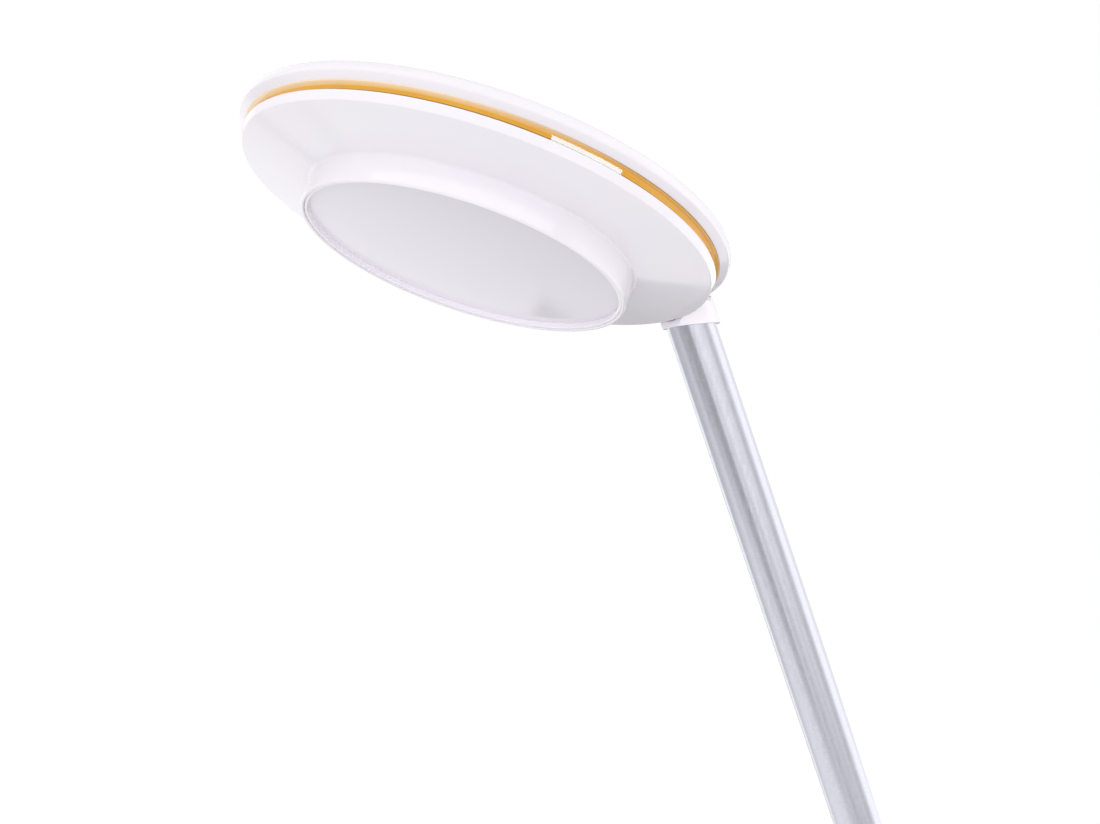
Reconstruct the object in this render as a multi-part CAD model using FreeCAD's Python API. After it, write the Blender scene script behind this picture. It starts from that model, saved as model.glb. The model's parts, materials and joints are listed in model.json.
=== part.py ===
"""LED desk lamp: a weighted round base, a tube arm and a flat round head on two friction hinges.

Millimetres, +Z up. The origin is the middle of the base, on the plane that it stands on. The lamp is
symmetric about Y = 0, and its head reaches forward over -X. Head pieces are drawn about the head's
own middle, with their axis along Z, arm pieces with the base hinge at their origin and the tube
along Z, and both are then set into the lamp's resting pose.
"""
import FreeCAD
import Part
import math
import os

V = FreeCAD.Vector

# Resting pose and the travel of the two hinges, in degrees
ARM_LEAN = 22.0
HEAD_LIFT = 20.0
HEAD_RISE = 28.0
HEAD_DROP = 20.0

# Fits and clearances
FIT = 0.03
RUN = 0.06
GAP = 0.3

# Head: heights from the plane of the lower shell's rim, insets from the cover's radius
COVER_RADIUS = 100.0
COVER_BOTTOM = 3.75
COVER_BELLY = 5.8
COVER_BELLY_ROUND = 1.0
COVER_SHOULDER = 10.2
COVER_SHOULDER_ROUND = 3.0
COVER_CROWN = 13.0
COVER_WALL = 2.2
COVER_LIP_INSET = 3.1
COVER_LIP_ROUND = 0.8
COVER_SKIRT_INSET = 4.8
DOME_BREAK = 0.62
DOME_ROUND = 4.0
ACCENT_INSET = 5.0
ACCENT_FOOT = 2.85
ACCENT_COVE = 0.6
ACCENT_FLARE = 1.7
ACCENT_EDGE = 0.3
ACCENT_WIDTH = 6.5
ACCENT_HEIGHT = 5.5
RIM_INSET = 3.4
RIM_ROUND = 0.4
BAND_INSET = 4.3
BAND_DEPTH = 3.9
BAND_ROUND = 0.6
BOSS_CORNER = 1.2
LIP_RADIUS = 66.2
LIP_DEPTH = 20.7
LIP_ROUND = 0.9
LIP_INNER_ROUND = 0.5
LIP_WALL = 1.6
BOSS_BASE_DEPTH = 9.2
CHAMBER_INSET = 2.0
LEDGE_WIDTH = 9.5
LEDGE_DEPTH = 9.0
LEDGE_THICKNESS = 2.0
SHELL_WALL = 2.2
DIFFUSER_TOP = 15.5
DIFFUSER_DEPTH = 18.0
BEZEL_WIDTH = 1.3
BEZEL_INSET = 0.6
EDGE_BREAK = 0.3
SPREADER_THICKNESS = 2.0
BOARD_INSET = 3.0
BOARD_THICKNESS = 1.6
LED_SIZE = (3.5, 2.8, 0.8)
LED_CIRCLE_RADII = (22.0, 40.0)
LED_CIRCLE_COUNTS = (12, 24)
HEAD_POST_INSET = 4.0
HEAD_POST_RADIUS = 3.4
HEAD_POST_COUNT = 4

# Head hinge, placed in the head by its reach past the cover and its depth, and its bracket
HINGE_REACH = 8.2
HEAD_HINGE_DEPTH = 2.4
EYE_RADIUS = 8.0
EYE_HALF = 2.2
TONGUE_TOP = 3.3
TONGUE_THICKNESS = 2.2
KNUCKLE_RISE = 3.4
BRACKET_INSET = 13.0
BRACKET_LENGTH = 27.0
BRACKET_HALF = 14.0
BRACKET_CORNER = 4.0
BRACKET_SCREWS = ((20.0, 0.0), (6.0, 9.0), (6.0, -9.0))
HEAD_PIN_RADIUS = 2.5
HEAD_PIN_INSET = 0.8
HEAD_WASHER = 0.5
SWEEP_RADIUS = 11.2
SWEEP_BACK = 84.0
SWEEP_FRONT = 166.0

# Arm
ARM_LENGTH = 350.0
TUBE_RADIUS = 10.0
TUBE_WALL = 1.2
TUBE_START = 22.0
CAP_RADIUS = 11.75
CAP_WALL = 1.7
CAP_SLANT = 14.5
CAP_START = 1.75
CAP_TOP = 11.0
CAP_OVERLAP = 2.0
CLEVIS_DEPTH = 42.0
CLEVIS_TOP = 5.5
FORK_FLOOR = 8.4
FORK_BACK = 8.4
PLUG_TOP = 52.0
KNUCKLE_RADIUS = 11.0
KNUCKLE_HALF = 6.0
KNUCKLE_NECK = 9.0
COLLAR_START = 16.0
LEAD_RADIUS = 2.0
LEAD_INSET = 4.0
FOOT_SCREW_HEIGHT = 36.0
NECK_SCREW_DEPTH = 14.0

# Base
BASE_RADIUS = 92.5
BASE_HEIGHT = 24.0
BASE_WALL = 2.5
BASE_ROUND = 7.0
PAD_THICKNESS = 2.0
PAD_INSET = 5.5
BOTTOM_THICKNESS = 2.0
WEIGHT_INSET = 14.5
CONTROL_ROOM = 11.0
BASE_POST_INSET = 8.0
BASE_POST_RADIUS = 3.5
HINGE_INSET = 37.5
HINGE_HEIGHT = 40.0
CHEEK_RADIUS = 12.0
CHEEK_THICKNESS = 5.0
FORK_PLATE = (44.0, 46.0, 4.0)
FORK_BOLTS = (14.0, 17.0)
BASE_WASHER = 1.0
BASE_PIN_RADIUS = 4.0
BASE_PIN_HEAD = (7.0, 3.0)
BASE_NUT = (7.5, 4.0)

# Controls inside the base
CIRCUIT_INSET = 46.5
BOARD_SIZE = (44.0, 36.0, 1.6)
SPACER_HEIGHT = 1.5
SPACER_RADIUS = 2.5
SPACER_INSET = 4.0
COIL_PLACE = (-12.5, 7.5)
COIL_SIZE = (7.0, 7.0, 3.5)
CAPACITOR_PLACE = (-12.0, -7.0)
CAPACITOR_SIZE = (3.0, 4.5)
CHIP_PLACE = (12.0, 0.0)
CHIP_SIZE = (6.0, 6.0, 1.5)
SWITCH_SIZE = (12.0, 12.0, 2.2)
SWITCH_FLOOR = 0.2
BUTTON_RADIUS = 8.0
BUTTON_RISE = 1.5
BUTTON_ROUND = 0.8
BUTTON_FLANGE = (9.5, 1.5)
BUTTON_STEM_RADIUS = 2.0
BUTTON_TRAVEL = 1.0
INLET_INSET = 0.2
INLET_LENGTH = 13.8
INLET_NOSE = 4.3
INLET_SIZE = (9.0, 11.0)
INLET_NOSE_RADIUS = 4.0
INLET_BORE_RADIUS = 3.2
INLET_PIN_RADIUS = 1.05
INLET_BORE_DEPTH = 9.5
INLET_GAP = 0.1

# Screws: shank and head radii, how far they bite, and the height of a head flush in the bottom plate
HEAD_SCREW_BITE = 8.0
BRACKET_SCREW_BITE = 4.0
BASE_SCREW_BITE = 9.2
BOARD_SCREW_BITE = 3.0
SMALL_SCREW = 1.4
FOOT_SCREW = 2.0
BOARD_SCREW = 1.2
FORK_BOLT = 2.5
PAN_HEAD = (2.7, 1.8)
BOARD_SCREW_HEAD = (2.3, 1.5)
BASE_SCREW_HEAD = 3.0
BOLT_HEAD = 4.5
FLUSH_HEAD = 1.2

# Radii and levels that follow from the sizes above
RIM_RADIUS = COVER_RADIUS - RIM_INSET
BAND_RADIUS = COVER_RADIUS - BAND_INSET
ACCENT_RADIUS = COVER_RADIUS - ACCENT_INSET
ACCENT_BORE = ACCENT_RADIUS - ACCENT_WIDTH
MOUTH_RADIUS = LIP_RADIUS - LIP_WALL
CHAMBER_RADIUS = MOUTH_RADIUS - CHAMBER_INSET
BEZEL_RADIUS = MOUTH_RADIUS - BEZEL_WIDTH
LEDGE_RADIUS = MOUTH_RADIUS - LEDGE_WIDTH
BOARD_RADIUS = LEDGE_RADIUS - BOARD_INSET
HEAD_POST_CIRCLE = LEDGE_RADIUS + HEAD_POST_INSET
BRACKET_OUTER = COVER_RADIUS - BRACKET_INSET
HEAD_HINGE_RADIUS = COVER_RADIUS + HINGE_REACH
PAD_RADIUS = BASE_RADIUS - PAD_INSET
WEIGHT_RADIUS = BASE_RADIUS - WEIGHT_INSET
BASE_POST_CIRCLE = BASE_RADIUS - BASE_POST_INSET
HINGE_X = BASE_RADIUS - HINGE_INSET
BOARD_X = CIRCUIT_INSET - BASE_RADIUS
INLET_END = BASE_RADIUS - INLET_INSET
INLET_BODY_END = INLET_END - INLET_NOSE
INLET_START = INLET_END - INLET_LENGTH
CORE_RADIUS = SWEEP_RADIUS - CAP_WALL
TUBE_BORE = TUBE_RADIUS - TUBE_WALL
PLATE_TOP = PAD_THICKNESS + BOTTOM_THICKNESS
WEIGHT_TOP = BASE_HEIGHT - CONTROL_ROOM
FORK_TOP = WEIGHT_TOP + FORK_PLATE[2]
BASE_CEILING = BASE_HEIGHT - BASE_WALL
CIRCUIT_BOTTOM = WEIGHT_TOP + SPACER_HEIGHT
CIRCUIT_TOP = CIRCUIT_BOTTOM + BOARD_SIZE[2]
CHEEK_START = KNUCKLE_HALF + BASE_WASHER + 2 * RUN
CLEVIS_CHEEK = EYE_HALF + HEAD_WASHER + 2 * RUN
COVER_CEILING = COVER_CROWN - COVER_WALL
TONGUE_BOTTOM = TONGUE_TOP - TONGUE_THICKNESS
SPREADER_TOP = SPREADER_THICKNESS - LEDGE_DEPTH
LED_BOARD_BOTTOM = -LEDGE_DEPTH - BOARD_THICKNESS
INLET_HEIGHT = PLATE_TOP + INLET_SIZE[1] / 2


def outline(corners):
    """Closed wire in the XZ plane through corners (x, z) or (x, z, rounding radius)."""
    bends = []
    for index, corner in enumerate(corners):
        here = V(corner[0], 0, corner[1])
        if len(corner) == 2:
            bends.append((here, None, here))
            continue
        previous = corners[index - 1]
        following = corners[(index + 1) % len(corners)]
        back = (V(previous[0], 0, previous[1]) - here).normalize()
        ahead = (V(following[0], 0, following[1]) - here).normalize()
        half_angle = back.getAngle(ahead) / 2
        reach = corner[2] / math.tan(half_angle)
        inward = (back + ahead).normalize() * (corner[2] / math.sin(half_angle) - corner[2])
        bends.append((here + back * reach, here + inward, here + ahead * reach))
    edges = []
    for index, (start, middle, end) in enumerate(bends):
        if middle:
            edges.append(Part.Arc(start, middle, end).toShape())
        edges.append(Part.makeLine(end, bends[(index + 1) % len(bends)][0]))
    return Part.Wire(edges)


def turned(corners):
    """Solid of revolution about Z of an outline in radius and height."""
    return Part.Face(outline(corners)).revolve(V(0, 0, 0), V(0, 0, 1), 360)


def slab(corners, near, far):
    """Outline in the XZ plane drawn out along Y from near to far."""
    face = Part.Face(outline(corners))
    face.translate(V(0, near, 0))
    return face.extrude(V(0, far - near, 0))


def upright(radius, bottom, top, x=0.0, y=0.0):
    return Part.makeCylinder(radius, top - bottom, V(x, y, bottom))


def washer(outer, inner, bottom, top, x=0.0, y=0.0):
    return upright(outer, bottom, top, x, y).cut(upright(inner, bottom, top, x, y))


def crosswise(radius, near, far, x=0.0, z=0.0):
    return Part.makeCylinder(radius, far - near, V(x, near, z), V(0, 1, 0))


def backward(radius, start, end, z, y=0.0):
    return Part.makeCylinder(radius, end - start, V(start, y, z), V(1, 0, 0))


def block(x_span, y_span, z_span):
    low = V(x_span[0], y_span[0], z_span[0])
    return Part.makeBox(x_span[1] - x_span[0], y_span[1] - y_span[0], z_span[1] - z_span[0], low)


def around(radius, count, start=0.0):
    """Evenly spaced points on a circle about Z, with their angle in degrees."""
    for index in range(count):
        angle = start + 360.0 * index / count
        turn = math.radians(angle)
        yield radius * math.cos(turn), radius * math.sin(turn), angle


def screw(head_radius, head_height, shank_radius, length, x, y, seat, up=True):
    """Pan-head screw: the head's seat is at height seat, and the shank points up or down."""
    sign = 1 if up else -1
    head = Part.makeCylinder(head_radius, head_height, V(x, y, seat), V(0, 0, -sign))
    shank = Part.makeCylinder(shank_radius, length, V(x, y, seat), V(0, 0, sign))
    return head.fuse(shank).removeSplitter()


# Head

def head_posts():
    return list(around(HEAD_POST_CIRCLE, HEAD_POST_COUNT, 45.0))


def bracket_places():
    return [(BRACKET_OUTER - inset, aside) for inset, aside in BRACKET_SCREWS]


def head_top_cover():
    """Shallow dome with a rounded edge and posts that the plates below screw into."""
    dome_break = DOME_BREAK * COVER_RADIUS
    dome_round = DOME_ROUND * COVER_RADIUS
    skirt = COVER_RADIUS - COVER_SKIRT_INSET
    cover = turned([
        (0, COVER_CROWN),
        (dome_break, COVER_CROWN, dome_round),
        (COVER_RADIUS, COVER_SHOULDER, COVER_SHOULDER_ROUND),
        (COVER_RADIUS, COVER_BELLY, COVER_BELLY_ROUND),
        (COVER_RADIUS - COVER_LIP_INSET, COVER_BOTTOM, COVER_LIP_ROUND),
        (skirt, COVER_BOTTOM),
        (skirt, COVER_SHOULDER - COVER_WALL, COVER_SHOULDER_ROUND - COVER_BELLY_ROUND),
        (dome_break, COVER_CEILING, dome_round),
        (0, COVER_CEILING),
    ])
    for x, y, angle in head_posts():
        cover = cover.fuse(upright(HEAD_POST_RADIUS, SPREADER_TOP, COVER_CEILING + COVER_WALL / 4, x, y))
        cover = cover.cut(upright(SMALL_SCREW + FIT, SPREADER_TOP, SPREADER_TOP + HEAD_SCREW_BITE + 1, x, y))
    for x, y in bracket_places():
        cover = cover.fuse(upright(HEAD_POST_RADIUS, TONGUE_TOP, COVER_CEILING, x, y))
        cover = cover.cut(upright(SMALL_SCREW + FIT, TONGUE_TOP, TONGUE_TOP + BRACKET_SCREW_BITE + 1, x, y))
    return cover.removeSplitter()


def accent_ring():
    """Clear ring between the shells that flares out to the cover's lip, notched for the bracket."""
    flare = ACCENT_RADIUS + ACCENT_FLARE
    ring = turned([
        (ACCENT_BORE, 0),
        (ACCENT_RADIUS, 0),
        (ACCENT_RADIUS, ACCENT_FOOT, ACCENT_COVE),
        (flare, COVER_BOTTOM - ACCENT_EDGE),
        (flare, COVER_BOTTOM),
        (ACCENT_RADIUS, COVER_BOTTOM),
        (ACCENT_RADIUS, ACCENT_HEIGHT),
        (ACCENT_BORE, ACCENT_HEIGHT),
    ])
    notch_half = EYE_HALF + 2 * GAP
    return ring.cut(block((0, COVER_RADIUS), (-notch_half, notch_half), (-1, ACCENT_HEIGHT + 1)))


def head_lower_shell():
    """Cone under the head that drops to a round boss, with a ledge for the light engine."""
    flange = ACCENT_BORE - EDGE_BREAK
    slope = (BOSS_BASE_DEPTH - BAND_DEPTH) / (BAND_RADIUS - LIP_RADIUS)
    inside = BAND_DEPTH + (BAND_RADIUS - flange) * slope - SHELL_WALL
    seat_radius = CHAMBER_RADIUS + GAP
    seat = BAND_DEPTH + (BAND_RADIUS - seat_radius) * slope - SHELL_WALL
    shell = turned([
        (flange, 0),
        (RIM_RADIUS, 0, RIM_ROUND),
        (BAND_RADIUS, -BAND_DEPTH, BAND_ROUND),
        (LIP_RADIUS, -BOSS_BASE_DEPTH, BOSS_CORNER),
        (LIP_RADIUS, -LIP_DEPTH, LIP_ROUND),
        (MOUTH_RADIUS, -LIP_DEPTH, LIP_INNER_ROUND),
        (MOUTH_RADIUS, -DIFFUSER_TOP),
        (CHAMBER_RADIUS, -DIFFUSER_TOP),
        (CHAMBER_RADIUS, -LEDGE_DEPTH - LEDGE_THICKNESS),
        (LEDGE_RADIUS, -LEDGE_DEPTH - LEDGE_THICKNESS),
        (LEDGE_RADIUS, -LEDGE_DEPTH),
        (seat_radius, -LEDGE_DEPTH),
        (seat_radius, -seat),
        (flange, -inside),
    ])
    for x, y, angle in head_posts():
        shell = shell.cut(upright(SMALL_SCREW + GAP, -LEDGE_DEPTH - LEDGE_THICKNESS, -LEDGE_DEPTH, x, y))
    return shell


def diffuser_bezel():
    return turned([
        (BEZEL_RADIUS, -LIP_DEPTH + BEZEL_INSET, EDGE_BREAK),
        (MOUTH_RADIUS - FIT, -LIP_DEPTH + BEZEL_INSET, EDGE_BREAK),
        (MOUTH_RADIUS - FIT, -DIFFUSER_DEPTH),
        (BEZEL_RADIUS, -DIFFUSER_DEPTH),
    ])


def diffuser():
    return upright(MOUTH_RADIUS - GAP, -DIFFUSER_DEPTH, -DIFFUSER_TOP)


def heat_spreader():
    plate = upright(CHAMBER_RADIUS, -LEDGE_DEPTH, SPREADER_TOP)
    for x, y, angle in head_posts():
        plate = plate.cut(upright(SMALL_SCREW + GAP, -LEDGE_DEPTH, SPREADER_TOP, x, y))
    return plate


def led_board():
    return upright(BOARD_RADIUS, LED_BOARD_BOTTOM, -LEDGE_DEPTH)


def led_chips():
    length, width, height = LED_SIZE
    chips = []
    for radius, count in zip(LED_CIRCLE_RADII, LED_CIRCLE_COUNTS):
        for x, y, angle in around(radius, count):
            chip = block((-length / 2, length / 2), (-width / 2, width / 2), (-height, 0))
            chip.rotate(V(0, 0, 0), V(0, 0, 1), angle)
            chip.translate(V(x, y, LED_BOARD_BOTTOM))
            chips.append(chip)
    return Part.makeCompound(chips)


def head_screws():
    seat = -LEDGE_DEPTH - LEDGE_THICKNESS
    length = LEDGE_THICKNESS + SPREADER_THICKNESS + HEAD_SCREW_BITE
    return Part.makeCompound(
        [screw(*PAN_HEAD, SMALL_SCREW, length, x, y, seat) for x, y, angle in head_posts()])


def bracket_screws():
    length = TONGUE_THICKNESS + BRACKET_SCREW_BITE
    return Part.makeCompound(
        [screw(*PAN_HEAD, SMALL_SCREW, length, x, y, TONGUE_BOTTOM) for x, y in bracket_places()])


def hinge_bracket():
    """Tongue that leaves the head between its two shells and ends in a knuckle with the hinge eye."""
    width = (-EYE_HALF, EYE_HALF)
    levels = (TONGUE_BOTTOM, TONGUE_TOP)
    eye = crosswise(EYE_RADIUS, *width, HEAD_HINGE_RADIUS, -HEAD_HINGE_DEPTH)
    tongue = block((BRACKET_OUTER - BRACKET_CORNER, HEAD_HINGE_RADIUS), width, levels)
    knuckle = crosswise(SWEEP_RADIUS - GAP, *width, HEAD_HINGE_RADIUS, -HEAD_HINGE_DEPTH)
    front = (HEAD_HINGE_RADIUS - SWEEP_RADIUS, HEAD_HINGE_RADIUS)
    knuckle = knuckle.common(block(front, width, (KNUCKLE_RISE - HEAD_HINGE_DEPTH, TONGUE_TOP)))
    plate = block((BRACKET_OUTER - BRACKET_LENGTH, BRACKET_OUTER), (-BRACKET_HALF, BRACKET_HALF), levels)
    corners = [edge for edge in plate.Edges if abs(edge.Length - TONGUE_THICKNESS) < FIT]
    plate = plate.makeFillet(BRACKET_CORNER, corners)
    bracket = eye.fuse([tongue, knuckle, plate]).removeSplitter()
    bracket = bracket.cut(crosswise(HEAD_PIN_RADIUS + RUN, *width, HEAD_HINGE_RADIUS, -HEAD_HINGE_DEPTH))
    for x, y in bracket_places():
        bracket = bracket.cut(upright(SMALL_SCREW + GAP, TONGUE_BOTTOM, TONGUE_TOP, x, y))
    return bracket


# Arm

def head_sweep(radius):
    """Space outside a radius that the back of the head sweeps about its hinge, with all its travel."""
    first = math.radians(SWEEP_BACK - HEAD_RISE)
    last = math.radians(SWEEP_FRONT + HEAD_DROP)
    reach = 4 * CAP_RADIUS
    steps = 6
    corners = [(0, ARM_LENGTH)]
    for index in range(steps + 1):
        angle = first + (last - first) * index / steps
        corners.append((reach * math.cos(angle), ARM_LENGTH + reach * math.sin(angle)))
    wedge = slab(corners, -reach, reach)
    return wedge.cut(crosswise(radius, -reach, reach, 0, ARM_LENGTH))


def below_cap(rise):
    """Space under the slanted plane of the cap's lower edge, moved up by rise."""
    reach = 4 * CAP_RADIUS
    start = ARM_LENGTH + CAP_START + rise
    drop = reach * math.tan(math.radians(CAP_SLANT))
    floor = start - 2 * reach
    corners = [(-reach, start + drop), (reach, start - drop), (reach, floor), (-reach, floor)]
    return slab(corners, -reach, reach)


def drum_front(radius, rise):
    """Space over the cap's lower edge that the cap's drum fills in front, outside a radius."""
    return head_sweep(radius).cut(below_cap(rise))


def knuckle_slot(front, back, floor):
    """Slot for the hinge eye between the fork's cheeks, open at the top."""
    span = (-CLEVIS_CHEEK, CLEVIS_CHEEK)
    return block((front, back), span, (ARM_LENGTH + floor, ARM_LENGTH + 2 * CAP_TOP))


def neck_screw_hole(radius):
    return backward(radius, 0, 2 * TUBE_RADIUS, ARM_LENGTH - NECK_SCREW_DEPTH)


def foot_screw_hole(radius):
    return backward(radius, 0, 2 * TUBE_RADIUS, FOOT_SCREW_HEIGHT)


def arm_tube():
    """Round tube whose slanted end stands in the cap."""
    end = ARM_LENGTH + CAP_TOP
    tube = washer(TUBE_RADIUS, TUBE_BORE, TUBE_START, end)
    above = upright(CAP_RADIUS, ARM_LENGTH - CAP_RADIUS, end).cut(below_cap(CAP_OVERLAP - FIT))
    tube = tube.cut(above).cut(drum_front(CORE_RADIUS - FIT, -FIT))
    return tube.cut(neck_screw_hole(SMALL_SCREW + FIT)).cut(foot_screw_hole(FOOT_SCREW + FIT))


def neck_cap():
    """Round white cap over the end of the tube: a drum about the hinge with a hood behind the head."""
    low = ARM_LENGTH - CAP_RADIUS
    cap = upright(CAP_RADIUS, low, ARM_LENGTH + CAP_TOP)
    socket = upright(TUBE_RADIUS + FIT, low, ARM_LENGTH + CAP_TOP).common(below_cap(CAP_OVERLAP))
    socket = socket.cut(drum_front(CORE_RADIUS, 0))
    core = upright(TUBE_BORE, low, ARM_LENGTH + CLEVIS_TOP + FIT).cut(head_sweep(CORE_RADIUS))
    cap = cap.cut(below_cap(0)).cut(socket).cut(core)
    return cap.cut(head_sweep(SWEEP_RADIUS)).cut(knuckle_slot(-TUBE_BORE, FORK_BACK, 0))


def neck_clevis():
    """Plug in the end of the tube with the fork that holds the head's hinge pin."""
    clevis = upright(TUBE_BORE - FIT, ARM_LENGTH - CLEVIS_DEPTH, ARM_LENGTH + CLEVIS_TOP)
    bore = crosswise(HEAD_PIN_RADIUS + FIT, -CAP_RADIUS, CAP_RADIUS, 0, ARM_LENGTH)
    lead_hole = upright(LEAD_RADIUS + FIT, ARM_LENGTH - CLEVIS_DEPTH, ARM_LENGTH - FORK_FLOOR)
    clevis = clevis.cut(knuckle_slot(-TUBE_RADIUS, TUBE_RADIUS, -FORK_FLOOR)).cut(bore).cut(lead_hole)
    return clevis.cut(head_sweep(CORE_RADIUS - FIT)).cut(neck_screw_hole(SMALL_SCREW + FIT))


def neck_screw():
    return backward(SMALL_SCREW, 2 * LEAD_RADIUS, TUBE_RADIUS, ARM_LENGTH - NECK_SCREW_DEPTH)


def head_hinge_pin():
    half = TUBE_BORE - HEAD_PIN_INSET
    return crosswise(HEAD_PIN_RADIUS, -half, half, 0, ARM_LENGTH)


def head_hinge_washers():
    rings = []
    for near in (EYE_HALF + RUN, -EYE_HALF - RUN - HEAD_WASHER):
        ring = crosswise(EYE_RADIUS - GAP, near, near + HEAD_WASHER, 0, ARM_LENGTH)
        rings.append(ring.cut(crosswise(HEAD_PIN_RADIUS + FIT, near, near + HEAD_WASHER, 0, ARM_LENGTH)))
    return Part.makeCompound(rings)


def arm_lead():
    return upright(LEAD_RADIUS, TUBE_START + LEAD_INSET, ARM_LENGTH - FORK_FLOOR)


def arm_foot():
    """Knuckle of the base hinge with a collar that the tube stands on and a plug inside it."""
    knuckle = crosswise(KNUCKLE_RADIUS, -KNUCKLE_HALF, KNUCKLE_HALF)
    width = (-KNUCKLE_HALF, KNUCKLE_HALF)
    neck = block((-KNUCKLE_NECK, KNUCKLE_NECK), width, (0, TUBE_START))
    collar = upright(TUBE_RADIUS, COLLAR_START, TUBE_START)
    plug = upright(TUBE_BORE - FIT, COLLAR_START, PLUG_TOP)
    foot = knuckle.fuse([neck, collar, plug]).removeSplitter()
    foot = foot.cut(crosswise(BASE_PIN_RADIUS + FIT, *width))
    foot = foot.cut(upright(LEAD_RADIUS + FIT, TUBE_START + LEAD_INSET, PLUG_TOP))
    return foot.cut(foot_screw_hole(FOOT_SCREW + FIT))


def foot_screw():
    return backward(FOOT_SCREW, 2 * LEAD_RADIUS, TUBE_RADIUS, FOOT_SCREW_HEIGHT)


# Base

def base_posts():
    return list(around(BASE_POST_CIRCLE, 4, 45.0))


def base_shell():
    """White cover of the base with slots for the hinge fork, the button and the inlet."""
    inner = BASE_RADIUS - BASE_WALL
    shell = turned([
        (0, BASE_HEIGHT),
        (BASE_RADIUS, BASE_HEIGHT, BASE_ROUND),
        (BASE_RADIUS, PAD_THICKNESS),
        (inner, PAD_THICKNESS),
        (inner, BASE_CEILING, BASE_ROUND - BASE_WALL),
        (0, BASE_CEILING),
    ])
    for x, y, angle in base_posts():
        shell = shell.fuse(upright(BASE_POST_RADIUS, PLATE_TOP, BASE_CEILING + BASE_WALL / 5, x, y))
        shell = shell.cut(upright(SMALL_SCREW + FIT, PLATE_TOP, PLATE_TOP + BASE_SCREW_BITE + 1, x, y))
    reach = CHEEK_RADIUS + GAP
    for near in (CHEEK_START - GAP, -CHEEK_START - CHEEK_THICKNESS - GAP):
        span = (near, near + CHEEK_THICKNESS + 2 * GAP)
        shell = shell.cut(block((HINGE_X - reach, HINGE_X + reach), span, (BASE_CEILING, BASE_HEIGHT)))
    shell = shell.cut(upright(BUTTON_RADIUS + GAP, BASE_CEILING, BASE_HEIGHT, BOARD_X))
    inlet = backward(INLET_NOSE_RADIUS + INLET_GAP, INLET_BODY_END, BASE_RADIUS, INLET_HEIGHT)
    return shell.cut(inlet)


def fork_bolt_places():
    across, aside = FORK_BOLTS
    return [(HINGE_X + i * across, j * aside) for i in (-1, 1) for j in (-1, 1)]


def stepped_hole(head_radius, shank_radius, head_height, x, y):
    head = upright(head_radius, PAD_THICKNESS, PAD_THICKNESS + head_height, x, y)
    return head.fuse(upright(shank_radius, PAD_THICKNESS, PLATE_TOP, x, y))


def base_bottom_plate():
    plate = upright(BASE_RADIUS - BASE_WALL - GAP, PAD_THICKNESS, PLATE_TOP)
    for x, y, angle in base_posts():
        plate = plate.cut(stepped_hole(BASE_SCREW_HEAD + FIT, SMALL_SCREW + FIT, FLUSH_HEAD, x, y))
    for x, y in fork_bolt_places():
        plate = plate.cut(stepped_hole(BOLT_HEAD + FIT, FORK_BOLT + FIT, FLUSH_HEAD, x, y))
    return plate


def base_screws():
    seat = PAD_THICKNESS + FLUSH_HEAD
    sizes = (BASE_SCREW_HEAD, FLUSH_HEAD, SMALL_SCREW, PLATE_TOP + BASE_SCREW_BITE - seat)
    return Part.makeCompound([screw(*sizes, x, y, seat) for x, y, angle in base_posts()])


def fork_bolts():
    seat = PAD_THICKNESS + FLUSH_HEAD
    length = FORK_TOP - seat
    return Part.makeCompound(
        [screw(BOLT_HEAD, FLUSH_HEAD, FORK_BOLT, length, x, y, seat) for x, y in fork_bolt_places()])


def base_pad():
    return upright(PAD_RADIUS, 0, PAD_THICKNESS)


def base_weight():
    weight = upright(WEIGHT_RADIUS, PLATE_TOP, WEIGHT_TOP)
    for x, y in fork_bolt_places():
        weight = weight.cut(upright(FORK_BOLT + FIT, PLATE_TOP, WEIGHT_TOP, x, y))
    for x, y in spacer_places():
        weight = weight.cut(upright(BOARD_SCREW + FIT, WEIGHT_TOP - BOARD_SCREW_BITE - 1, WEIGHT_TOP, x, y))
    return weight


def base_hinge_fork():
    """Foot plate bolted to the weight with two round-topped cheeks that rise through the shell."""
    length, width, thickness = FORK_PLATE
    ends = (HINGE_X - length / 2, HINGE_X + length / 2)
    fork = block(ends, (-width / 2, width / 2), (WEIGHT_TOP, FORK_TOP))
    for near in (CHEEK_START, -CHEEK_START - CHEEK_THICKNESS):
        span = (near, near + CHEEK_THICKNESS)
        wall = block((HINGE_X - CHEEK_RADIUS, HINGE_X + CHEEK_RADIUS), span, (WEIGHT_TOP, HINGE_HEIGHT))
        fork = fork.fuse([wall, crosswise(CHEEK_RADIUS, span[0], span[1], HINGE_X, HINGE_HEIGHT)])
    bore = crosswise(BASE_PIN_RADIUS + FIT, -width / 2, width / 2, HINGE_X, HINGE_HEIGHT)
    fork = fork.removeSplitter().cut(bore)
    for x, y in fork_bolt_places():
        fork = fork.cut(upright(FORK_BOLT + FIT, WEIGHT_TOP, FORK_TOP, x, y))
    return fork


def base_hinge_pin():
    outer = CHEEK_START + CHEEK_THICKNESS
    radius, height = BASE_PIN_HEAD
    shank = crosswise(BASE_PIN_RADIUS, -outer, outer + BASE_NUT[1], HINGE_X, HINGE_HEIGHT)
    head = crosswise(radius, -outer - height, -outer, HINGE_X, HINGE_HEIGHT)
    return shank.fuse(head).removeSplitter()


def base_hinge_nut():
    radius, height = BASE_NUT
    start = CHEEK_START + CHEEK_THICKNESS
    corners = []
    for index in range(6):
        angle = math.radians(60 * index)
        corners.append((HINGE_X + radius * math.cos(angle), HINGE_HEIGHT + radius * math.sin(angle)))
    nut = slab(corners, start, start + height)
    return nut.cut(crosswise(BASE_PIN_RADIUS + FIT, start, start + height, HINGE_X, HINGE_HEIGHT))


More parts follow.
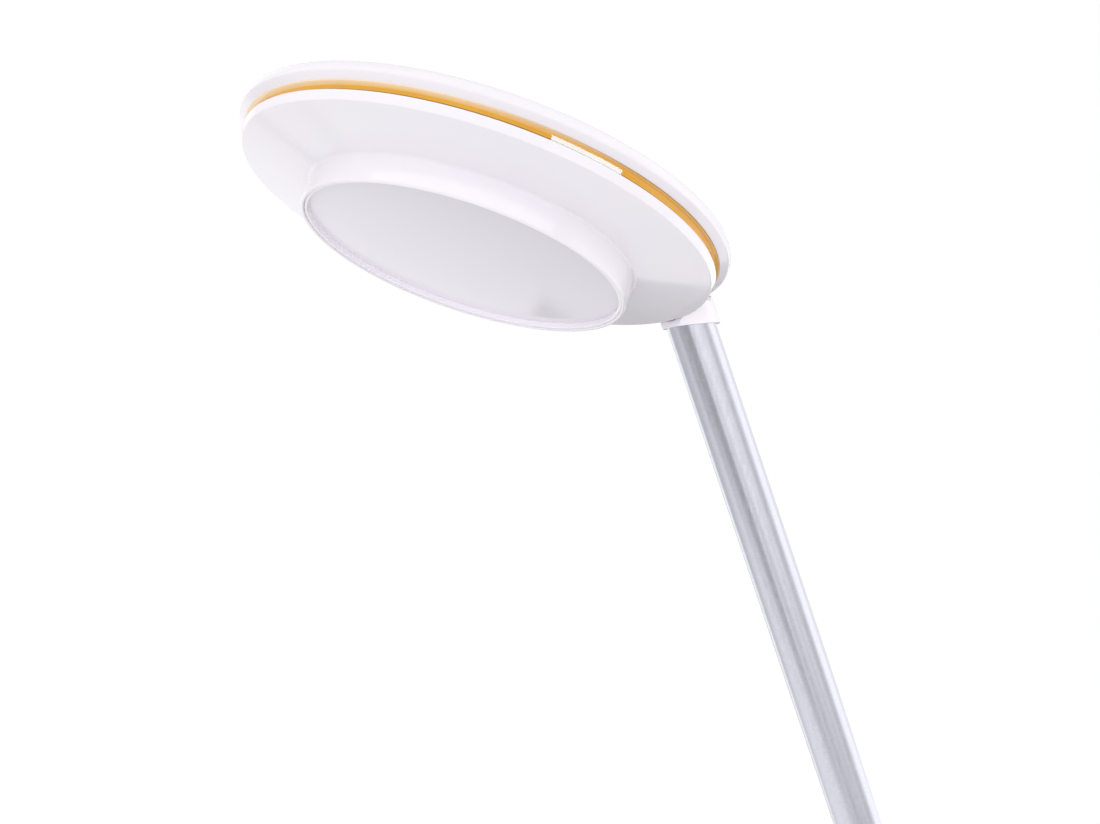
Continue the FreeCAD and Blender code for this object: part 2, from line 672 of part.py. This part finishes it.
def base_hinge_washers():
    rings = []
    for near in (KNUCKLE_HALF + RUN, -KNUCKLE_HALF - RUN - BASE_WASHER):
        far = near + BASE_WASHER
        ring = crosswise(KNUCKLE_RADIUS - 1, near, far, HINGE_X, HINGE_HEIGHT)
        rings.append(ring.cut(crosswise(BASE_PIN_RADIUS + FIT, near, far, HINGE_X, HINGE_HEIGHT)))
    return Part.makeCompound(rings)


def spacer_places():
    across = BOARD_SIZE[0] / 2 - SPACER_INSET
    aside = BOARD_SIZE[1] / 2 - SPACER_INSET
    return [(BOARD_X + i * across, j * aside) for i in (-1, 1) for j in (-1, 1)]


def on_board(size, place, bottom):
    """Box of a size with its middle at a place on the control board."""
    length, width, height = size
    box = Part.makeBox(length, width, height)
    box.translate(V(BOARD_X + place[0] - length / 2, place[1] - width / 2, bottom))
    return box


def board_spacers():
    levels = (WEIGHT_TOP, CIRCUIT_BOTTOM)
    return Part.makeCompound(
        [washer(SPACER_RADIUS, BOARD_SCREW + FIT, *levels, x, y) for x, y in spacer_places()])


def control_board():
    board = on_board(BOARD_SIZE, (0.0, 0.0), CIRCUIT_BOTTOM)
    for x, y in spacer_places():
        board = board.cut(upright(BOARD_SCREW + FIT, CIRCUIT_BOTTOM, CIRCUIT_TOP, x, y))
    return board


def board_screws():
    sizes = (*BOARD_SCREW_HEAD, BOARD_SCREW, BOARD_SIZE[2] + SPACER_HEIGHT + BOARD_SCREW_BITE)
    return Part.makeCompound([screw(*sizes, x, y, CIRCUIT_TOP, up=False) for x, y in spacer_places()])


def driver_parts():
    """Coil, capacitor and driver chip of the lamp's dimmer, on the control board."""
    radius, height = CAPACITOR_SIZE
    x, y = CAPACITOR_PLACE
    capacitor = upright(radius, CIRCUIT_TOP, CIRCUIT_TOP + height, BOARD_X + x, y)
    coil = on_board(COIL_SIZE, COIL_PLACE, CIRCUIT_TOP)
    chip = on_board(CHIP_SIZE, CHIP_PLACE, CIRCUIT_TOP)
    return Part.makeCompound([coil, capacitor, chip])


def push_switch():
    body = on_board(SWITCH_SIZE, (0.0, 0.0), CIRCUIT_TOP)
    levels = (CIRCUIT_TOP + SWITCH_FLOOR, CIRCUIT_TOP + SWITCH_SIZE[2])
    return body.cut(upright(BUTTON_STEM_RADIUS + GAP, *levels, BOARD_X))


def power_button():
    """Round button in the base's top, with a flange that keeps it in and a stem into the switch."""
    radius, thickness = BUTTON_FLANGE
    top = BASE_HEIGHT + BUTTON_RISE
    flange_top = BASE_CEILING - GAP
    stem_end = CIRCUIT_TOP + SWITCH_FLOOR + BUTTON_TRAVEL + GAP
    button = turned([
        (0, stem_end),
        (BUTTON_STEM_RADIUS, stem_end),
        (BUTTON_STEM_RADIUS, flange_top - thickness),
        (radius, flange_top - thickness),
        (radius, flange_top),
        (BUTTON_RADIUS, flange_top),
        (BUTTON_RADIUS, top, BUTTON_ROUND),
        (0, top),
    ])
    button.translate(V(BOARD_X, 0, 0))
    return button


def dc_inlet():
    """Low-voltage barrel socket that looks out of the back of the base."""
    width, height = INLET_SIZE
    body = block((INLET_START, INLET_BODY_END), (-width / 2, width / 2), (PLATE_TOP, PLATE_TOP + height))
    nose = backward(INLET_NOSE_RADIUS, INLET_START, INLET_END, INLET_HEIGHT)
    bore_start = INLET_END - INLET_BORE_DEPTH
    bore = backward(INLET_BORE_RADIUS, bore_start, INLET_END, INLET_HEIGHT)
    pin = backward(INLET_PIN_RADIUS, INLET_START, INLET_END - INLET_PIN_RADIUS, INLET_HEIGHT)
    return body.fuse(nose).cut(bore).fuse(pin).removeSplitter()


BASE_NODES = (
    base_shell, base_bottom_plate, base_weight, base_pad, base_screws, base_hinge_fork, fork_bolts,
    base_hinge_pin, base_hinge_nut, base_hinge_washers, control_board, board_spacers, board_screws,
    driver_parts, push_switch, power_button, dc_inlet,
)
ARM_NODES = (
    arm_foot, foot_screw, arm_tube, arm_lead, neck_clevis, neck_cap, neck_screw, head_hinge_pin,
    head_hinge_washers,
)
HEAD_NODES = (
    hinge_bracket, bracket_screws, head_top_cover, accent_ring, head_lower_shell, diffuser_bezel,
    diffuser, heat_spreader, led_board, led_chips, head_screws,
)


def resting_pose():
    """Where the arm and the head stand in the lamp."""
    across = V(0, 1, 0)
    foot = V(HINGE_X, 0, HINGE_HEIGHT)
    arm_turn = FreeCAD.Rotation(across, -ARM_LEAN)
    head_turn = FreeCAD.Rotation(across, HEAD_LIFT)
    neck = foot + arm_turn.multVec(V(0, 0, ARM_LENGTH))
    middle = neck - head_turn.multVec(V(HEAD_HINGE_RADIUS, 0, -HEAD_HINGE_DEPTH))
    return FreeCAD.Placement(foot, arm_turn), FreeCAD.Placement(middle, head_turn)


def main():
    os.makedirs("parts", exist_ok=True)
    arm, head = resting_pose()
    for nodes, place in ((BASE_NODES, FreeCAD.Placement()), (ARM_NODES, arm), (HEAD_NODES, head)):
        for node in nodes:
            shape = node()
            shape.transformShape(place.toMatrix(), True)
            shape.exportStep(f"parts/{node.__name__}.step")


main()
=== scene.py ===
"""LED desk lamp, dressed over its construction model: finishes, studio and the photograph's camera."""

import json
import math
import bpy
from mathutils import Matrix, Quaternion, Vector

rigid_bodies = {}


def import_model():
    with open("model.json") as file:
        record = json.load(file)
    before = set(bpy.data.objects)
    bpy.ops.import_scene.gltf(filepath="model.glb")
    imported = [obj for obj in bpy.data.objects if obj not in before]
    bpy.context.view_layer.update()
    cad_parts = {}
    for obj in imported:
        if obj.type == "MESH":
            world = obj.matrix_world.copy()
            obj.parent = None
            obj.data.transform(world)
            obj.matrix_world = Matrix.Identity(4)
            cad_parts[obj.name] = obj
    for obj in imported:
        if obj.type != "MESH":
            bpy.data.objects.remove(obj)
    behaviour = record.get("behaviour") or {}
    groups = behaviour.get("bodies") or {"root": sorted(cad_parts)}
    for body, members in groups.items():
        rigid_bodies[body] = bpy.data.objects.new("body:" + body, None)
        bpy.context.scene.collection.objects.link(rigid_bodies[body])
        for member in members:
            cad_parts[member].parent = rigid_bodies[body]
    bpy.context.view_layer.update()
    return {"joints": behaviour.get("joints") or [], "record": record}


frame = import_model()

MM = 0.001

# The photograph's frame and its camera, found from the ellipses of the head and the tube's edges
PHOTO_WIDTH, PHOTO_HEIGHT = 1100, 824
FOCAL_PIXELS = 1966.0
CAMERA_AZIMUTH, CAMERA_ELEVATION = math.radians(-30.0), math.radians(-5.3)
HEAD_PIXEL = (478.2, 213.4)
HEAD_DEPTH = 769.2 * MM
SENSOR_WIDTH = 36.0
RIGHT = Vector((math.cos(CAMERA_AZIMUTH), math.sin(CAMERA_AZIMUTH), 0))
AHEAD = Vector((-math.sin(CAMERA_AZIMUTH), math.cos(CAMERA_AZIMUTH), 0))
UP = Vector((0, 0, 1))

# The head's middle, on the plane of its lower rim, hangs on the neck hinge
HEAD_LIFT = math.radians(20.0)
HINGE_IN_HEAD = Vector((108.2 * MM, 0, -2.4 * MM))
NECK = Vector(next(j for j in frame["joints"] if j["name"] == "head_tilt")["pos_m"])
FOOT = Vector(next(j for j in frame["joints"] if j["name"] == "arm_tilt")["pos_m"])
HEAD_TURN = Matrix.Rotation(HEAD_LIFT, 3, "Y")
HEAD_MIDDLE = NECK - HEAD_TURN @ HINGE_IN_HEAD
ARM_LEAN = (NECK - FOOT).angle(UP)
RING_NEAR_POINT = HEAD_MIDDLE + HEAD_TURN @ Vector((-9.0 * MM, -95.0 * MM, 1.5 * MM))

# Where the colour changes, in millimetres from the head's middle, each from start to end: up the amber ring,
# from the head's free end towards the neck, and across the diffuser from its near side
# The ring's foot band is painted shade, dark where the rim shades the clear wall
RING_FOOT_SHADE = (0.7, 1.0)
RING_FLARE = (2.3, 3.2)
RING_SAWN_FACE = (3.25, 3.4)
# The top edge band is a painted shade line, dark towards the neck where the ring meets the cover
RING_TOP_EDGE_SHADE = (3.4, 3.5)
FREE_END = (-55.0, 10.0)
# The near side band is painted shade: the near lip's shadow on the diffuser
NEAR_LIP_SHADOW = (-60.0, 50.0)

# Light of the room, lift of the floor to white before the camera, and half the floor's width in metres
ROOM_LIGHT = 0.89
FLOOR_LIFT = 0.2
FLOOR_HALF = 3.0

# Distance of the softboxes and of the strip from what they light, in metres
SOFTBOX_DISTANCE = 1.1
STRIP_DISTANCE = 0.9

# Studio as the lamp's gloss sees it: level, then patches given by azimuth, with 0 behind the lamp and 90 at
# the right, and by elevation, both in degrees as low, high and soft edge, and the level inside
STUDIO_LEVEL = 1.0
STUDIO_PATCHES = (
    # White screen behind the lamp at the left
    ((-40, -8, 8), (-20, 40, 8), 1.2),
    # Grey cards at the left, darker towards the camera
    ((-110, -44, 8), (-27, 8, 14), 0.62),
    ((-155, -105, 16), (-32, 8, 10), 0.47),
    ((-168, -142, 8), (-36, 8, 12), 0.45),
    # White strip under the camera, and the grey ground below it
    ((148, 181, 8), (-16, -4, 8), 1.18),
    ((126, 152, 8), (-70, -12, 8), 0.66),
    ((148, 181, 8), (-70, -20, 8), 0.62),
    ((-181, -168, 4), (-70, -29, 8), 0.72),
    # Grey card and white screen at the right
    ((104, 128, 16), (-60, 12, 4), 0.66),
    ((60, 98, 8), (-10, 40, 8), 1.3),
    # Two thin bars that streak the cone of the lower shell
    ((-42, -22, 6), (-25.4, -23.2, 1), 0.72),
    ((-42, -22, 6), (-33, -30.4, 1), 0.76),
    # White cards, low at the right and behind it
    ((56, 84, 8), (-24, -8, 6), 1.5),
    ((18, 58, 10), (-12, 1, 2), 1.7),
    # Dark cards behind the lamp: for the diffuser, for the cone beside the neck, and above those two
    ((-11.9, -5, 0.6), (-25.5, -12, 0.6), 0.3),
    ((-6, 40, 2), (-31, -12, 2), 0.2),
    ((-14, 14, 6), (-12, 30, 6), 0.35),
)

NOISE, CELLS, LINES = "ShaderNodeTexNoise", "ShaderNodeTexVoronoi", "ShaderNodeTexWave"
MIX, RANGE, BUMP = "ShaderNodeMix", "ShaderNodeMapRange", "ShaderNodeBump"
MATH, VECTOR_MATH = "ShaderNodeMath", "ShaderNodeVectorMath"
COORDINATES, MAPPING = "ShaderNodeTexCoord", "ShaderNodeMapping"
# Sockets of a Mix node that blends colours: factor, first and second colour, and the result
FACTOR, FIRST, SECOND, BLEND = 0, 6, 7, 2


def linear(code):
    """sRGB hex to linear colour."""
    parts = [int(code[i:i + 2], 16) / 255 for i in (1, 3, 5)]
    return (*(c / 12.92 if c <= 0.04045 else ((c + 0.055) / 1.055) ** 2.4 for c in parts), 1.0)


def add(tree, kind, inputs=(), **settings):
    """Adds a node, sets its options, and sets or links its inputs, in the node's own order or by name or
    place. A node given as an input stands for its result: its first output, or the colour of a Mix node."""
    node = tree.nodes.new(kind)
    for option, value in settings.items():
        setattr(node, option, value)
    pairs = inputs.items() if isinstance(inputs, dict) else enumerate(inputs)
    for socket, value in pairs:
        if isinstance(value, bpy.types.Node):
            value = value.outputs[BLEND if getattr(value, "data_type", "") == "RGBA" else 0]
        if isinstance(value, bpy.types.NodeSocket):
            tree.links.new(value, node.inputs[socket])
        else:
            node.inputs[socket].default_value = value
    return node


def start(name):
    """Empty node material and its tree."""
    material = bpy.data.materials.new(name)
    material.use_nodes = True
    material.node_tree.nodes.clear()
    return material, material.node_tree


def pattern(tree, kind, size, turn=(0, 0, 0), stretch=(1, 1, 1)):
    """Texture on the object's own coordinates whose features are about size millimetres across."""
    place = add(tree, COORDINATES).outputs["Object"]
    scale = [1 / (size * MM * s) for s in stretch]
    turned = add(tree, MAPPING, {"Vector": place, "Rotation": turn, "Scale": scale})
    return add(tree, kind, {"Vector": turned, "Scale": 1.0})


def along_head(tree, axis):
    """Distance from the head's middle along one of the head's own axes, in millimetres."""
    place = add(tree, COORDINATES).outputs["Object"]
    offset = add(tree, VECTOR_MATH, (place, HEAD_MIDDLE), operation="SUBTRACT")
    along = add(tree, VECTOR_MATH, (offset, HEAD_TURN @ Vector(axis) / MM), operation="DOT_PRODUCT")
    return along.outputs["Value"]


def close(material, tree, **shader):
    """Ends a material with a Principled shader, whose sockets are named with _ for spaces."""
    principled = add(tree, "ShaderNodeBsdfPrincipled", {k.replace("_", " "): v for k, v in shader.items()})
    add(tree, "ShaderNodeOutputMaterial", {"Surface": principled})
    return material


def moulded_white_abs():
    """Injection moulded ABS from a polished tool: deep gloss, and a faint slow ripple where it shrank."""
    material, tree = start("moulded_white_abs")
    ripple = pattern(tree, NOISE, 18.0)
    cloud = pattern(tree, NOISE, 45.0)
    white = {FACTOR: cloud, FIRST: linear("#F1EDF4"), SECOND: linear("#F5F1F7")}
    return close(
        material, tree,
        Base_Color=add(tree, MIX, white, data_type="RGBA"),
        Roughness=add(tree, RANGE, (ripple, 0.3, 0.7, 0.06, 0.1)),
        IOR=1.53,
        Normal=add(tree, BUMP, {"Height": ripple, "Distance": 0.01 * MM, "Strength": 1.0}))


def cast_amber_acrylic():
    """Cast acrylic with a clear amber dye: full colour and a wet gloss on the upright wall, with painted shade
    as a dark band along its foot; paler in the flare above, most of all at the head's free end; a painted
    shade line along the top edge, dark towards the neck; and matt where it was sawn."""
    material, tree = start("cast_amber_acrylic")
    height = along_head(tree, (0, 0, 1))
    reach = add(tree, RANGE, (along_head(tree, (1, 0, 0)), *FREE_END, 0.0, 1.0))
    flow = pattern(tree, NOISE, 12.0)
    dye = {FACTOR: flow, FIRST: linear("#DE9E1E"), SECOND: linear("#E8B038")}
    # The dark foot colour is painted shade, where the rim shades the wall
    wall = {
        FACTOR: add(tree, RANGE, (height, *RING_FOOT_SHADE, 0.0, 1.0)),
        FIRST: linear("#8A6424"),
        SECOND: add(tree, MIX, dye, data_type="RGBA")}
    flare = {FACTOR: reach, FIRST: linear("#FFE8C0"), SECOND: linear("#EEBC6A")}
    body = {
        FACTOR: add(tree, RANGE, (height, *RING_FLARE, 0.0, 1.0)),
        FIRST: add(tree, MIX, wall, data_type="RGBA"),
        SECOND: add(tree, MIX, flare, data_type="RGBA")}
    # The top edge colour is painted shade, dark towards the neck where the ring meets the cover
    edge = {FACTOR: reach, FIRST: linear("#FFEBCC"), SECOND: linear("#9C7A44")}
    whole = {
        FACTOR: add(tree, RANGE, (height, *RING_TOP_EDGE_SHADE, 0.0, 1.0)),
        FIRST: add(tree, MIX, body, data_type="RGBA"),
        SECOND: add(tree, MIX, edge, data_type="RGBA")}
    gloss = add(tree, RANGE, (flow, 0.3, 0.7, 0.02, 0.05))
    sawn = add(tree, RANGE, (height, *RING_SAWN_FACE, 0.0, 0.5))
    return close(
        material, tree,
        Base_Color=add(tree, MIX, whole, data_type="RGBA"),
        Roughness=add(tree, MATH, (gloss, sawn), operation="MAXIMUM"),
        IOR=1.49)


def roll_polished_opal_sheet():
    """Extruded opal polycarbonate with a roll-polished face: a clear gloss with the faint slow waves of the
    rolls, over a milky body, with painted shade towards the near side, where the lip shadows the sheet."""
    material, tree = start("roll_polished_opal_polycarbonate")
    waves = pattern(tree, NOISE, 25.0)
    cloud = pattern(tree, NOISE, 60.0)
    milk = {FACTOR: cloud, FIRST: linear("#EEEAF2"), SECOND: linear("#F3EFF7")}
    # The darker colour at the near side is painted shade, the lip's shadow on the sheet
    body = {
        FACTOR: add(tree, RANGE, (along_head(tree, (0, 1, 0)), *NEAR_LIP_SHADOW, 0.0, 1.0)),
        FIRST: linear("#D8D4DE"),
        SECOND: add(tree, MIX, milk, data_type="RGBA")}
    return close(
        material, tree,
        Base_Color=add(tree, MIX, body, data_type="RGBA"),
        Roughness=add(tree, RANGE, (waves, 0.3, 0.7, 0.03, 0.06)),
        IOR=1.58,
        Normal=add(tree, BUMP, {"Height": waves, "Distance": 0.01 * MM, "Strength": 1.0}))


def drawn_anodised_aluminium():
    """Drawn aluminium, etched and anodised: lengthwise draw lines under a fine satin sparkle, whose grain is
    coarser here than the real one, so that it shows."""
    material, tree = start("drawn_anodised_aluminium")
    lines = pattern(tree, NOISE, 1.5, (0, ARM_LEAN, 0), (1, 1, 30))
    grain = pattern(tree, NOISE, 1.0)
    silver = {FACTOR: grain, FIRST: linear("#D4D5E0"), SECOND: linear("#E4E4EE")}
    return close(
        material, tree,
        Base_Color=add(tree, MIX, silver, data_type="RGBA"),
        Metallic=1.0,
        Roughness=add(tree, RANGE, (lines, 0.3, 0.7, 0.18, 0.28)),
        Normal=add(tree, BUMP, {"Height": grain, "Distance": 0.01 * MM, "Strength": 1.0}))


def patterned(name, kind, size, dark, light, roughness, depth, metallic=0.0, stretch=(1, 1, 1)):
    """Material whose colour, gloss and relief follow one pattern, with its size and depth in millimetres."""
    material, tree = start(name)
    texture = pattern(tree, kind, size, stretch=stretch)
    factor = texture.outputs["Distance" if kind == CELLS else "Fac"]
    colour = {FACTOR: factor, FIRST: linear(dark), SECOND: linear(light)}
    return close(
        material, tree,
        Base_Color=add(tree, MIX, colour, data_type="RGBA"),
        Metallic=metallic,
        Roughness=add(tree, RANGE, (factor, 0.0, 1.0, *roughness)),
        Normal=add(tree, BUMP, {"Height": factor, "Distance": depth * MM, "Strength": 1.0}))


# Grain, lines and specks that are finer than half a millimetre are drawn about that coarse, so that they show
FINISHES = {
    "white_gloss": moulded_white_abs(),
    "amber_clear": cast_amber_acrylic(),
    "opal_sheet": roll_polished_opal_sheet(),
    "satin_aluminium": drawn_anodised_aluminium(),
    # Sprayed and stoved powder: an even orange peel
    "white_coat": patterned("white_powder_coat", NOISE, 1.2, "#EEEAF1", "#F4F1F7", (0.16, 0.24), 0.01),
    "coated_steel": patterned("black_powder_coat", NOISE, 1.2, "#222224", "#303033", (0.45, 0.6), 0.02),
    # Rolled sheet: faint roll marks along one way
    "sheet_aluminium": patterned(
        "rolled_aluminium", NOISE, 1.0, "#BDBEC2", "#D2D3D6", (0.28, 0.42), 0.005, 1.0, stretch=(40, 1, 1)),
    # Cast in sand: a coarse dull skin
    "cast_weight": patterned("sand_cast_iron", NOISE, 2.0, "#2E2E30", "#4A4A4C", (0.6, 0.8), 0.15, 0.5),
    # Foamed rubber: fine open cells
    "soft_pad": patterned("foamed_rubber", CELLS, 1.2, "#0E0E0E", "#242424", (0.8, 0.95), 0.2),
    # Zinc plate: a cool bloom over the steel
    "bright_steel": patterned(
        "zinc_plated_steel", NOISE, 3.0, "#B4B6BC", "#D0D1D6", (0.2, 0.34), 0.003, 1.0),
    # Acetal cut from rod: turning lines
    "friction_washer": patterned("turned_acetal", LINES, 0.6, "#D6D3C8", "#E6E4DC", (0.35, 0.5), 0.01),
    # Epoxy mask over copper: paler where a trace lies under it
    "circuit_board": patterned("green_solder_mask", LINES, 2.5, "#0A4A22", "#1A6C37", (0.25, 0.4), 0.03),
    "white_board": patterned("white_solder_mask", LINES, 4.0, "#E6E6E3", "#F3F3F1", (0.3, 0.4), 0.02),
    # Phosphor powder set in clear resin: a yellow speckle under a gloss
    "led_phosphor": patterned("phosphor_in_resin", NOISE, 0.5, "#DEC03E", "#F2DE78", (0.1, 0.25), 0.01),
    # Brass cut from rod: fine bright rings
    "turned_brass": patterned("turned_brass", LINES, 0.5, "#B48C3C", "#D4AE60", (0.2, 0.35), 0.01, 1.0),
    # Moulded in a spark-eroded tool: fine matt grain
    "black_plastic": patterned(
        "spark_grained_black_abs", NOISE, 0.6, "#0C0C0D", "#1A1A1B", (0.35, 0.55), 0.02),
    "button_grey": patterned("spark_grained_grey_abs", NOISE, 0.6, "#B2B2B8", "#BFBFC5", (0.3, 0.45), 0.02),
    # Extruded sheath: a soft dull gloss with faint lines along it
    "lead_sheath": patterned(
        "extruded_pvc", NOISE, 0.8, "#CFCFD2", "#DEDEE0", (0.4, 0.5), 0.01, stretch=(1, 1, 25)),
}

for entry in frame["record"]["subparts"]:
    mesh = bpy.data.objects[entry["node"]].data
    mesh.materials.clear()
    mesh.materials.append(FINISHES[entry["material_slot"]])


def window(tree, value, low, high, soft):
    """1 while value is between low and high, with soft edges, else 0."""
    half = soft / 2
    rise = add(tree, RANGE, (value, low - half, low + half, 0.0, 1.0), interpolation_type="SMOOTHSTEP")
    fall = add(tree, RANGE, (value, high - half, high + half, 1.0, 0.0), interpolation_type="SMOOTHSTEP")
    return add(tree, MATH, (rise, fall), operation="MULTIPLY")


def studio():
    """White room that lights evenly, shows cards and screens in gloss, and is plain white to look at."""
    world = bpy.data.worlds.new("studio")
    bpy.context.scene.world = world
    world.use_nodes = True
    tree = world.node_tree
    tree.nodes.clear()
    place = add(tree, COORDINATES).outputs["Generated"]
    seen = add(tree, MAPPING, {"Vector": place, "Rotation": (0, 0, -CAMERA_AZIMUTH)})
    axes = add(tree, "ShaderNodeSeparateXYZ", (seen,)).outputs
    around = add(tree, MATH, (axes["X"], axes["Y"]), operation="ARCTAN2")
    above = add(tree, MATH, (axes["Z"],), operation="ARCSINE")
    azimuth = add(tree, MATH, (around,), operation="DEGREES")
    elevation = add(tree, MATH, (above,), operation="DEGREES")
    level = STUDIO_LEVEL
    for across, up, inside in STUDIO_PATCHES:
        wide = window(tree, azimuth, *across)
        high = window(tree, elevation, *up)
        area = add(tree, MATH, (wide, high), operation="MULTIPLY")
        level = add(tree, MIX, {"Factor": area, "A": level, "B": inside}, data_type="FLOAT")
    ray = add(tree, "ShaderNodeLightPath").outputs
    white = linear("#FFFFFF")
    even, gloss, plain = (
        add(tree, "ShaderNodeBackground", (white, strength)) for strength in (ROOM_LIGHT, level, 1.0))
    lit = add(tree, "ShaderNodeMixShader", (ray["Is Glossy Ray"], even, gloss))
    room = add(tree, "ShaderNodeMixShader", (ray["Is Camera Ray"], lit, plain))
    add(tree, "ShaderNodeOutputWorld", {"Surface": room})


def floor():
    """Pale paper floor, lifted to white where the camera looks at it, so that shadows stay."""
    mesh = bpy.data.meshes.new("floor")
    corners = [(x * FLOOR_HALF, y * FLOOR_HALF, 0) for x, y in ((-1, -1), (1, -1), (1, 1), (-1, 1))]
    mesh.from_pydata(corners, [], [(0, 1, 2, 3)])
    obj = bpy.data.objects.new("floor", mesh)
    bpy.context.scene.collection.objects.link(obj)
    obj.visible_glossy = False
    material, tree = start("paper_floor")
    ray = add(tree, "ShaderNodeLightPath").outputs
    fibre = pattern(tree, NOISE, 3.0)
    pulp = {FACTOR: fibre, FIRST: linear("#F4F4F5"), SECOND: linear("#F7F7F8")}
    paper = add(tree, "ShaderNodeBsdfDiffuse", {"Color": add(tree, MIX, pulp, data_type="RGBA")})
    seen = add(tree, RANGE, (ray["Is Camera Ray"], 0.0, 1.0, 0.0, FLOOR_LIFT))
    lift = add(tree, "ShaderNodeEmission", {"Strength": seen})
    both = add(tree, "ShaderNodeAddShader", (paper, lift))
    add(tree, "ShaderNodeOutputMaterial", {"Surface": both})
    mesh.materials.append(material)


def softbox(name, lit, target, direction, distance, size, level, tint="#FFFFFF", **seen):
    """Rectangular lamp of an even level that faces a target, flagged off from all but the nodes it lights. Its
    direction is an azimuth and elevation like the studio's patches, and a roll. A negative roll lifts the
    side of larger azimuth."""
    data = bpy.data.lights.new(name, "AREA")
    data.shape = "RECTANGLE"
    data.size, data.size_y = size
    data.energy = level * math.pi * size[0] * size[1]
    data.color = linear(tint)[:3]
    obj = bpy.data.objects.new(name, data)
    bpy.context.scene.collection.objects.link(obj)
    azimuth, elevation, roll = (math.radians(angle) for angle in direction)
    flat = RIGHT * math.sin(azimuth) + AHEAD * math.cos(azimuth)
    outward = flat * math.cos(elevation) + UP * math.sin(elevation)
    facing = outward.to_track_quat("Z", "Y") @ Quaternion((0, 0, 1), roll)
    obj.matrix_world = Matrix.LocRotScale(target + outward * distance, facing, None)
    obj.visible_camera = False
    for kind, value in seen.items():
        setattr(obj, kind, value)
    nodes = bpy.data.collections.new("lit_by_" + name)
    for node in lit:
        nodes.objects.link(bpy.data.objects[node])
    obj.light_linking.receiver_collection = nodes


def lamps():
    """Three large softboxes round the head, and three lamps that each serve single pieces."""
    every_piece = [entry["node"] for entry in frame["record"]["subparts"]]
    for name, direction, size, level in (
            ("front_softbox", (180, -3, 0), (1.6, 0.7), 0.86),
            ("right_softbox", (85, -3, 0), (1.0, 0.7), 0.8),
            ("left_softbox", (-95, 0, 0), (1.0, 0.7), 0.55)):
        softbox(
            name, every_piece, HEAD_MIDDLE, direction, SOFTBOX_DISTANCE, size, level, visible_glossy=False)
    # Fill for the inside of the lip and for the neck
    softbox(
        "low_fill", ["diffuser_bezel", "neck_cap"], HEAD_MIDDLE, (180, -8, 0), SOFTBOX_DISTANCE,
        (1.2, 0.5), 1.0, visible_glossy=False)
    # Broad gloss along the wall of the boss
    softbox(
        "boss_softbox", ["head_lower_shell"], HEAD_MIDDLE, (172, 46, -23), SOFTBOX_DISTANCE,
        (3.6, 1.1), 1.1, visible_diffuse=False)
    # A cool tube lamp: over the amber its streak turns to cream
    softbox(
        "side_strip", ["accent_ring"], RING_NEAR_POINT, (127, 16.5, -18), STRIP_DISTANCE,
        (0.59, 0.16), 19.0, "#A0D8FF", visible_diffuse=False)


def camera():
    """The photograph's camera, with its lens and framing."""
    forward = AHEAD * math.cos(CAMERA_ELEVATION) - UP * math.sin(CAMERA_ELEVATION)
    up = RIGHT.cross(forward)
    across = (HEAD_PIXEL[0] - PHOTO_WIDTH / 2) / FOCAL_PIXELS * HEAD_DEPTH
    above = (PHOTO_HEIGHT / 2 - HEAD_PIXEL[1]) / FOCAL_PIXELS * HEAD_DEPTH
    eye = HEAD_MIDDLE - RIGHT * across - up * above - forward * HEAD_DEPTH
    data = bpy.data.cameras.new("photo_camera")
    data.sensor_width = SENSOR_WIDTH
    data.lens = SENSOR_WIDTH * FOCAL_PIXELS / PHOTO_WIDTH
    obj = bpy.data.objects.new("photo_camera", data)
    bpy.context.scene.collection.objects.link(obj)
    turn = Matrix((RIGHT, up, -forward)).transposed().to_4x4()
    obj.matrix_world = Matrix.Translation(eye) @ turn
    bpy.context.scene.camera = obj


studio()
lamps()
# The gloss of the head shows the studio alone, without the tube and its cap
for name in ("arm_tube", "neck_cap"):
    bpy.data.objects[name].visible_glossy = False
floor()
camera()
bpy.context.scene.view_settings.view_transform = "Standard"
